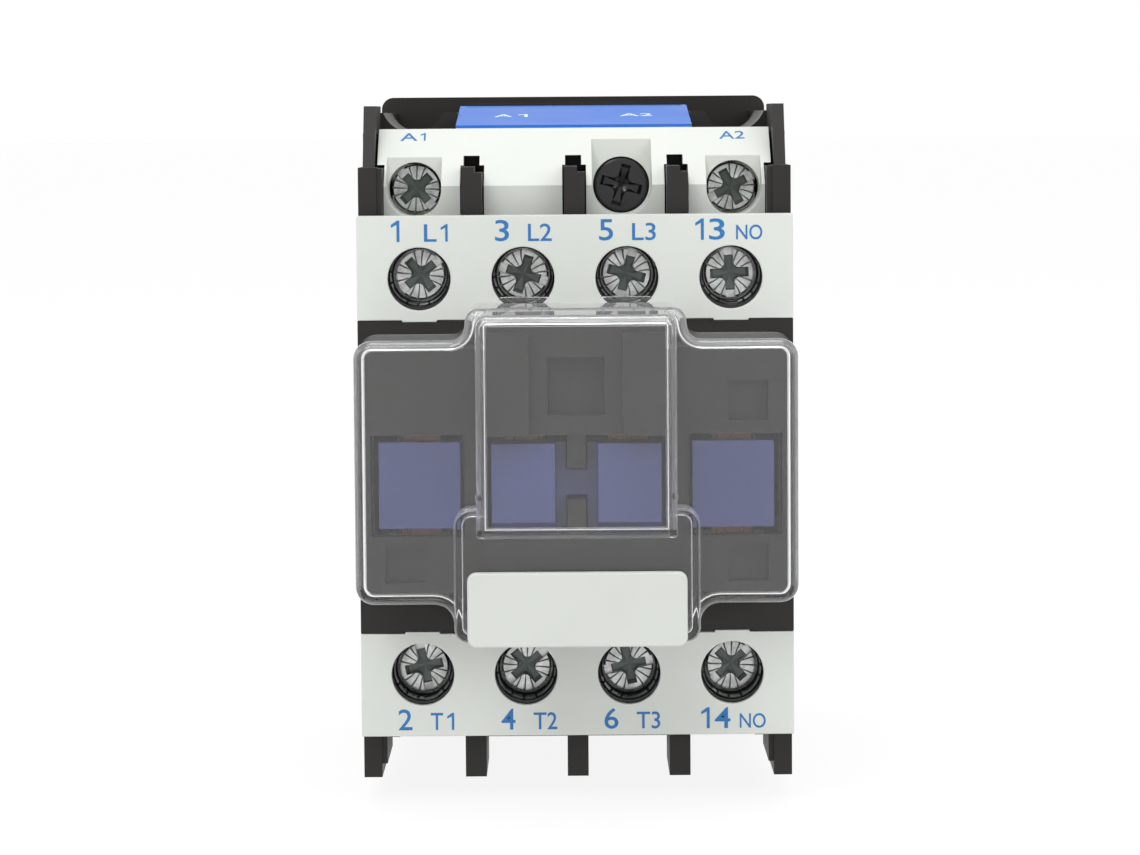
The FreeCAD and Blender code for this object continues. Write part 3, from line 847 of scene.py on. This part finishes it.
def repeat_tree(name, values):
    """Geometry Nodes: copies of the object's own mesh, a step apart, made real and given a material."""
    tree = bpy.data.node_groups.new(name, "GeometryNodeTree")
    face = tree.interface
    face.new_socket("Geometry", in_out="INPUT", socket_type="NodeSocketGeometry")
    for label, kind in (("Count", "Int"), ("Step", "Vector"), ("Material", "Material")):
        face.new_socket(label, in_out="INPUT", socket_type="NodeSocket" + kind).default_value = values[label]
    face.new_socket("Geometry", in_out="OUTPUT", socket_type="NodeSocketGeometry")
    source, line, copies, real, paint, result = (tree.nodes.new(kind) for kind in (
        "NodeGroupInput", "GeometryNodeMeshLine", "GeometryNodeInstanceOnPoints",
        "GeometryNodeRealizeInstances", "GeometryNodeSetMaterial", "NodeGroupOutput"))
    for giver, output, taker, socket in (
            (source, "Count", line, "Count"), (source, "Step", line, "Offset"),
            (line, "Mesh", copies, "Points"), (source, "Geometry", copies, "Instance"),
            (copies, "Instances", real, "Geometry"), (real, "Geometry", paint, "Geometry"),
            (source, "Material", paint, "Material"), (paint, "Geometry", result, "Geometry")):
        tree.links.new(giver.outputs[output], taker.inputs[socket])
    return tree


def repeated(piece, count, step, material):
    """Repeats a piece's mesh by Geometry Nodes and makes the result plain."""
    values = {"Count": count, "Step": step, "Material": material}
    modifier = piece.modifiers.new("repeat", "NODES")
    modifier.node_group = repeat_tree(piece.name + "_repeat", values)
    for item in modifier.node_group.interface.items_tree:
        if item.in_out == "INPUT" and item.name in values:
            modifier[item.identifier] = values[item.name]
    settle(piece)
    piece.data.materials.clear()
    piece.data.materials.append(material)
    shade(piece, 40)
    return piece


def sheet_from(node, level, thickness):
    """One lamination: the node's outline at a level in Z, given a thickness."""
    bm = node_bmesh(node)
    geometry = bm.verts[:] + bm.edges[:] + bm.faces[:]
    cut = bmesh.ops.bisect_plane(
        bm, geom=geometry, plane_co=(0, 0, level), plane_no=(0, 0, 1), clear_outer=True, clear_inner=True)
    edges = [item for item in cut["geom_cut"] if isinstance(item, bmesh.types.BMEdge)]
    bmesh.ops.triangle_fill(bm, edges=edges, use_beauty=True)
    bmesh.ops.dissolve_limit(bm, angle_limit=0.01, verts=bm.verts, edges=bm.edges)
    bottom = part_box(node)[0].z
    bmesh.ops.translate(bm, verts=bm.verts, vec=(0, 0, bottom - level))
    thicken(bm, (0, 0, thickness), True)
    return mesh_piece(node + "_sheets", bm, finish("sheets"))


def laminated_core(node):
    """Half of the magnet as a stack of its sheets."""
    low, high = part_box(node)
    pitch = sizes().sheet_pitch
    count = round((high.z - low.z) / pitch)
    pitch = (high.z - low.z) / count
    sheet = sheet_from(node, CONTACT_Z, pitch * 0.9)
    return repeated(sheet, count, (0, 0, pitch), finish("sheets"))


def rounded_loop(half_x, half_z, radius, y, z_centre, steps=6):
    """Points of a rounded rectangle in X and Z."""
    points = []
    for quarter in range(4):
        sx, sz = ((1, 1), (-1, 1), (-1, -1), (1, -1))[quarter]
        for i in range(steps + 1):
            a = (quarter + i / steps) * pi / 2
            points.append(Vector((sx * (half_x - radius) + radius * cos(a), y,
                                  z_centre + sz * (half_z - radius) + radius * sin(a))))
    return points


def coil_winding():
    """The winding's outer layer, turn by turn, over a plain inner sleeve."""
    low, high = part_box("coil_winding")
    wire = sizes().wire_radius
    pitch = wire * 2.06
    count = int((high.y - low.y) / pitch)
    first = (low.y + high.y) / 2 - pitch * (count - 1) / 2
    middle = (low.z + high.z) / 2
    half_x, half_z = (high.x - low.x) / 2 - wire, (high.z - low.z) / 2 - wire
    bm = bmesh.new()
    tube_along(bm, rounded_loop(half_x, half_z, 3 * MM, first, middle), wire, sides=8, closed=True)
    turns = mesh_piece("coil_winding_turns", bm, finish("enamel"), 60)
    repeated(turns, count, (0, pitch, 0), finish("enamel"))
    bm = bmesh.new()
    outside = (half_x - wire * 0.4, half_z - wire * 0.4, 3 * MM)
    inside = (5.7 * MM, 6.7 * MM, 0.5 * MM)
    rings = []
    for shape, y in ((outside, low.y), (outside, high.y), (inside, high.y), (inside, low.y)):
        rings.append([bm.verts.new(p) for p in rounded_loop(*shape, y, middle)])
    for a, b in zip(rings, rings[1:] + rings[:1]):
        skin(bm, a, b)
    sleeve = mesh_piece("coil_winding_sleeve", bm, finish("enamel"), 40)
    stand_for(turns, "coil_winding")
    join_frame(sleeve, body_of("coil_winding"), slot_of("coil_winding"))


def springs():
    """Return, contact and clip springs, each on its node's body."""
    low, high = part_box("return_springs")
    radius = 2.4 * MM
    for where, side in (("upper", 1), ("lower", -1)):
        foot = Vector((0, high.y, CONTACT_Z + side * ((high.z - low.z) / 2 - radius)))
        piece = coil_spring("return_spring_" + where, "return_springs", foot, Vector((0, -1, 0)),
                            high.y - low.y, radius - 0.3 * MM, 0.25 * MM, 6)
        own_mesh(piece)
    low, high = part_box("contact_springs")
    for number in range(1, 5):
        x = centre("terminal_screw_line_%d" % number).x
        foot = Vector((x, low.y, CONTACT_Z))
        piece = coil_spring("contact_spring_%d" % number, "contact_springs", foot, Vector((0, 1, 0)),
                            high.y - low.y, 1.45 * MM, 0.22 * MM, 4)
        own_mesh(piece)
    low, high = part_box("rail_clip_springs")
    for where, side in (("right", 1), ("left", -1)):
        foot = Vector((side * (high.x - 1.1 * MM), (low.y + high.y) / 2, low.z))
        piece = coil_spring("clip_spring_" + where, "rail_clip_springs", foot, Vector((0, 0, 1)),
                            high.z - low.z, 0.9 * MM, 0.16 * MM, 5)
        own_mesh(piece)


# ---- clear cover and marker


COVER_WALL = 0.8 * MM
TIGHTEST = 0.08 * MM          # smallest radius left at a corner moved inwards


def rounded_outline(corners, distance=0.0, steps=6):
    """An outline from anticlockwise corners of (x, z, radius), moved inwards by a distance."""
    spots = [Vector(corner[:2]) for corner in corners]
    count = len(spots)
    points = []
    for i, (spot, corner) in enumerate(zip(spots, corners)):
        arriving = (spot - spots[i - 1]).normalized()
        leaving = (spots[(i + 1) % count] - spot).normalized()
        inwards = Vector((-arriving.y - leaving.y, arriving.x + leaving.x))
        here = spot + inwards * (distance / (1 + arriving.dot(leaving)))
        bend = atan2(arriving.x * leaving.y - arriving.y * leaving.x, arriving.dot(leaving))
        radius = max(corner[2] - distance, TIGHTEST) if bend > 0 else corner[2] + distance
        start = here - arriving * (radius * tan(abs(bend) / 2))
        side = copysign(1, bend)
        middle = start + Vector((-arriving.y, arriving.x)) * (radius * side)
        spoke = start - middle
        for k in range(steps + 1):
            turn = bend * k / steps
            points.append(middle + Vector((spoke.x * cos(turn) - spoke.y * sin(turn),
                                           spoke.x * sin(turn) + spoke.y * cos(turn))))
    return points


def rounded_prism(name, corners, back, front, edge, material, draft=0.0, shrink=0.0, steps=4):
    """A prism from its back to its front plane in Y, drawn in by draft, with a rounded front edge."""
    rings = [(shrink, back)]
    for i in range(steps + 1):
        a = i / steps * pi / 2
        rings.append((shrink + draft + edge * (1 - cos(a)), front + edge * (1 - sin(a))))
    bm = bmesh.new()
    loops = []
    for distance, y in rings:
        loops.append([bm.verts.new((p.x, y, p.y)) for p in rounded_outline(corners, distance)])
    for a, b in zip(loops, loops[1:]):
        skin(bm, a, b)
    bm.faces.new(loops[0])
    bm.faces.new(loops[-1])
    return mesh_piece(name, bm, material)


def mirrored(half):
    """A whole outline from the right half's (x, z, radius) corners, bottom to top."""
    return half + [(-x, z, radius) for x, z, radius in reversed(half)]


def cover_corners(low, high):
    """Corners of the cover's silhouette, dome and ledge, in metres."""
    def at(x, z, radius):
        return (x * MM, CONTACT_Z + z * MM, radius * MM)
    wing_x = (high.x - low.x) / 2 / MM
    top = (high.z - CONTACT_Z) / MM - 0.6
    bottom = (low.z - CONTACT_Z) / MM
    silhouette = mirrored([
        at(12.5, bottom, 1.6), at(12.5, -11.9, 1.9), at(wing_x, -11.9, 1.9),
        at(wing_x, 14.9, 1.9), at(11.4, 14.9, 1.4), at(11.0, top, 1.5)])
    dome = mirrored([at(10.4, -5.0, 0.8), at(10.4, top - 0.05, 1.6)])
    ledge = mirrored([at(12.45, bottom + 0.05, 1.6), at(12.45, -1.65, 1.9)])
    return silhouette, dome, ledge


def cover_solid(name, shrink, back):
    """The cover's outer form, or its hollow when shrink is the wall's thickness."""
    low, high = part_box("dust_cover")
    silhouette, dome, ledge = cover_corners(low, high)
    edge = 0.9 * MM - shrink * 0.6
    inside = height(70.0)
    levels = ((silhouette, back, height(78.0), edge, 0.05 * MM), (dome, inside, low.y, edge, 0.4 * MM),
              (ledge, inside, height(80.8), edge * 0.5, 0.1 * MM))
    piece = None
    for corners, start, front, radius, draft in levels:
        part = rounded_prism(name, corners, start, front + shrink, radius, finish("clear"), draft, shrink)
        piece = part if piece is None else boolean(piece, part, "UNION")
    return piece


def ball(place, radius, material):
    bm = bmesh.new()
    bmesh.ops.create_uvsphere(bm, u_segments=20, v_segments=12, radius=radius)
    bmesh.ops.translate(bm, verts=bm.verts, vec=place)
    return mesh_piece("ball", bm, material)


def dust_cover():
    """The clear cross-shaped cover: rounded shell, two finger tabs and two side pips."""
    low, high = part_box("dust_cover")
    clear = finish("clear")
    cover = cover_solid("dust_cover_shell", 0.0, high.y)
    for side in (-1, 1):
        tab = [(side * 5.2 * MM + x * MM, high.z + z * MM, 0.1 * MM)
               for x, z in ((-3.1, -0.9), (3.1, -0.9), (2.5, 0.0), (-2.5, 0.0))]
        boolean(cover, rounded_prism("tab", tab, high.y - 0.05 * MM, height(68.0), 0.1 * MM, clear), "UNION")
        pip = Vector((side * 9.55 * MM, height(83.4), CONTACT_Z - 0.4 * MM))
        boolean(cover, ball(pip, 0.55 * MM, clear), "UNION")
    boolean(cover, cover_solid("hollow", COVER_WALL, high.y + MM), "DIFFERENCE")
    even_normals(cover)
    stand_for(cover, "dust_cover")


def marker_plate():
    """The blank white plate clipped on the cover's ledge."""
    low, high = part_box("marker_plate")
    spots = ((low.x, low.z), (high.x, low.z), (high.x, high.z), (low.x, high.z))
    corners = [(x, z, 0.9 * MM) for x, z in spots]
    piece = rounded_prism("marker_plate_form", corners, high.y, low.y, 0.22 * MM, finish("marker"))
    even_normals(piece)
    stand_for(piece, "marker_plate")


# ---- camera, light and floor


FOCAL_PIXELS = 3867.0
FRAME_WIDTH = 1140.0
SENSOR = 36.0
CAMERA_DISTANCE = 400 * MM
CAMERA_RISE = radians(4.6)
CAMERA_ROLL = radians(-0.4)
AIM_X = -0.62 * MM
AIM_Z = 2.6 * MM
GLOW_SHARE = 0.85
GLOW_STRENGTH = 1.05
WORLD_LEVEL = 0.68            # the room's light on the object; the camera sees 1
FLOOR_RADIUS = 12.0


def facing(way):
    """Turns a camera or lamp to look along a way."""
    return way.to_track_quat("-Z", "Y").to_matrix().to_4x4()


def camera():
    data = bpy.data.cameras.new("camera")
    data.sensor_width = SENSOR
    data.lens = FOCAL_PIXELS / FRAME_WIDTH * SENSOR
    data.clip_start = 0.01
    holder = new_object("camera", data)
    way = Vector((0, cos(CAMERA_RISE), -sin(CAMERA_RISE)))
    aim = Vector((AIM_X, FRONT_PLATE_Y, AIM_Z))
    roll = Matrix.Rotation(CAMERA_ROLL, 4, "Z")
    holder.matrix_world = Matrix.Translation(aim - way * CAMERA_DISTANCE) @ facing(way) @ roll
    bpy.context.scene.camera = holder


def lamp(name, place, aim, size, power):
    data = bpy.data.lights.new(name, "AREA")
    data.shape = "DISK"
    data.size = size
    data.energy = power
    holder = new_object(name, data)
    way = Vector(aim) - Vector(place)
    holder.matrix_world = Matrix.Translation(place) @ facing(way)


def background_rays(owner):
    """A factor that is 1 for what the camera, mirrors and clear plastic see directly."""
    rays = add(owner, "ShaderNodeLightPath", {})
    factor = rays.outputs["Is Camera Ray"]
    for name in ("Is Glossy Ray", "Is Transmission Ray"):
        either = add(owner, "ShaderNodeMath", {})
        either.operation = "MAXIMUM"
        link(owner, factor, either.inputs[0])
        link(owner, rays.outputs[name], either.inputs[1])
        factor = either.outputs["Value"]
    return factor


def seen_white(material, shader_output):
    """Mixes a glow into a pale ground in direct view, which lifts it to white and leaves a faint shadow."""
    share = add(material, "ShaderNodeMath", {1: GLOW_SHARE})
    share.operation = "MULTIPLY"
    link(material, background_rays(material), share.inputs[0])
    glow = add(material, "ShaderNodeEmission", {"Strength": GLOW_STRENGTH})
    mix_surface(material, share.outputs["Value"], shader_output, glow.outputs["Emission"])


def floor():
    bm = bmesh.new()
    bmesh.ops.create_circle(bm, cap_ends=True, radius=FLOOR_RADIUS, segments=96)
    bmesh.ops.translate(bm, verts=bm.verts, vec=(0, 0, CAD_BOX[0][2] - 0.02 * MM))
    material, shader = blank_material("floor_paper", Roughness=0.9)
    fibre = noise(material, place_coordinates(material), 220.0, 3.0)
    tinted(material, shader, fibre, (1, 1, 1), 0.86, 0.88)
    seen_white(material, shader.outputs["BSDF"])
    mesh_piece("floor", bm, material)


def surroundings():
    """A white room: even light on the object, plain white to the camera, mirrors and glass."""
    world = bpy.data.worlds.new("white_room")
    bpy.context.scene.world = world
    world.use_nodes = True
    sky = world.node_tree.nodes["Background"]
    set_inputs(sky, {"Color": (1, 1, 1, 1)})
    level = add(world, "ShaderNodeMapRange", {"To Min": WORLD_LEVEL, "To Max": 1.0})
    link(world, background_rays(world), level.inputs["Value"])
    link(world, level.outputs["Result"], sky.inputs["Strength"])


def studio():
    camera()
    surroundings()
    floor()
    aim = (0, height(60.0), 0)
    lamp("key", (-0.3, -0.8, 0.7), aim, 0.5, 3.0)
    lamp("fill", (0.6, -0.7, 0.35), aim, 0.6, 1.5)
    lamp("top", (0.0, -0.1, 0.9), aim, 0.5, 2.2)
    bpy.context.scene.view_settings.view_transform = "Standard"


# ---- operators


class CONTACTOR_OT_dark_mouldings(bpy.types.Operator):
    """Round the edges of the housings and the rail clip"""
    bl_idname = "contactor.dark_mouldings"
    bl_label = "Dark mouldings"

    def execute(self, context):
        soften_nodes(["base_housing", "front_housing", "rail_clip"], "housing", sizes().housing_edge)
        stand_for(screw_guides(), "screw_guides")
        return {"FINISHED"}


class CONTACTOR_OT_white_mouldings(bpy.types.Operator):
    """Round the edges of the terminal covers, the coil block and the bobbin"""
    bl_idname = "contactor.white_mouldings"
    bl_label = "White mouldings"

    def execute(self, context):
        nodes = ["upper_terminal_cover", "lower_terminal_cover", "coil_terminal_block", "coil_bobbin"]
        soften_nodes(nodes, "white", sizes().white_edge)
        return {"FINISHED"}


class CONTACTOR_OT_marks(bpy.types.Operator):
    """Print the generic terminal marks and lay the coil label"""
    bl_idname = "contactor.marks"
    bl_label = "Marks"

    def execute(self, context):
        soften_nodes(["coil_label"], "label", 0.0)
        marks = {
            "upper_terminal_cover": terminal_marks(1, "1 3 5 13", "L1 L2 L3 NO"),
            "lower_terminal_cover": terminal_marks(-1, "2 4 6 14", "T1 T2 T3 NO"),
            "coil_terminal_block": coil_marks(),
            "coil_label": label_marks()}
        for node, piece in marks.items():
            join_frame(piece, body_of(node), slot_of(node))
        return {"FINISHED"}


class CONTACTOR_OT_metalwork(bpy.types.Operator):
    """Round the edges of the strips, washers, tips and bridges"""
    bl_idname = "contactor.metalwork"
    bl_label = "Metalwork"

    def execute(self, context):
        edge = sizes().stamped_edge
        strips = [side + "_contact_%d" % n for side in ("line", "load") for n in range(1, 5)]
        soften_nodes(strips + ["coil_terminal_" + label for label in COILS], "brass", edge)
        soften_nodes(["clamp_washer_" + label for label in LINES + LOADS + COILS], "zinc", edge)
        soften_nodes(["contact_bridges"], "copper", edge)
        soften_nodes(["fixed_tips", "moving_tips"], "silver", edge)
        return {"FINISHED"}


class CONTACTOR_OT_screws(bpy.types.Operator):
    """Cut the combination recesses and threads of the screws"""
    bl_idname = "contactor.screws"
    bl_label = "Screws"

    def execute(self, context):
        terminal_screws()
        housing_screw()
        return {"FINISHED"}


class CONTACTOR_OT_carrier(bpy.types.Operator):
    """Round the edges of the blue contact carrier"""
    bl_idname = "contactor.carrier"
    bl_label = "Contact carrier"

    def execute(self, context):
        soften_nodes(["contact_carrier"], "carrier", sizes().housing_edge)
        return {"FINISHED"}


class CONTACTOR_OT_magnet(bpy.types.Operator):
    """Stack the core's sheets and wind the coil"""
    bl_idname = "contactor.magnet"
    bl_label = "Magnet and coil"

    def execute(self, context):
        for node in ("fixed_core", "moving_core"):
            stand_for(laminated_core(node), node)
        for node, key in (("shading_rings", "copper"), ("core_pin", "wire"), ("core_cushion", "rubber")):
            soften_nodes([node], key, sizes().stamped_edge)
        coil_winding()
        return {"FINISHED"}


class CONTACTOR_OT_springs(bpy.types.Operator):
    """Coil the return, contact and clip springs"""
    bl_idname = "contactor.springs"
    bl_label = "Springs"

    def execute(self, context):
        springs()
        return {"FINISHED"}


class CONTACTOR_OT_dust_cover(bpy.types.Operator):
    """Form the clear cover and its marker plate"""
    bl_idname = "contactor.dust_cover"
    bl_label = "Dust cover"

    def execute(self, context):
        dust_cover()
        marker_plate()
        return {"FINISHED"}


class CONTACTOR_OT_studio(bpy.types.Operator):
    """Set the camera, the lamps, the white room and the floor"""
    bl_idname = "contactor.studio"
    bl_label = "Studio"

    def execute(self, context):
        studio()
        return {"FINISHED"}


OPERATORS = (
    CONTACTOR_OT_dark_mouldings, CONTACTOR_OT_white_mouldings, CONTACTOR_OT_marks, CONTACTOR_OT_metalwork,
    CONTACTOR_OT_screws, CONTACTOR_OT_carrier, CONTACTOR_OT_magnet, CONTACTOR_OT_springs,
    CONTACTOR_OT_dust_cover, CONTACTOR_OT_studio)


class CONTACTOR_PT_panel(bpy.types.Panel):
    """Lists the pieces, their sizes and their colours"""
    bl_idname = "CONTACTOR_PT_panel"
    bl_label = "Contactor"
    bl_space_type = "VIEW_3D"
    bl_region_type = "UI"
    bl_category = "Contactor"

    def draw(self, context):
        for group in (context.scene.contactor_sizes, context.scene.contactor_colours):
            for name in group.__annotations__:
                self.layout.prop(group, name)
        for operator in OPERATORS:
            self.layout.operator(operator.bl_idname)


GROUPS = {"contactor_sizes": ContactorSizes, "contactor_colours": ContactorColours}


CLASSES = (*GROUPS.values(), *OPERATORS, CONTACTOR_PT_panel)


def register():
    for item in CLASSES:
        bpy.utils.register_class(item)
    for name, group in GROUPS.items():
        setattr(bpy.types.Scene, name, bpy.props.PointerProperty(type=group))


def unregister():
    for name in GROUPS:
        delattr(bpy.types.Scene, name)
    for item in reversed(CLASSES):
        bpy.utils.unregister_class(item)


def main():
    register()
    for operator in OPERATORS:
        getattr(bpy.ops.contactor, operator.bl_idname.split(".")[1])()
    bpy.context.view_layer.update()


if __name__ == "__main__":
    main()
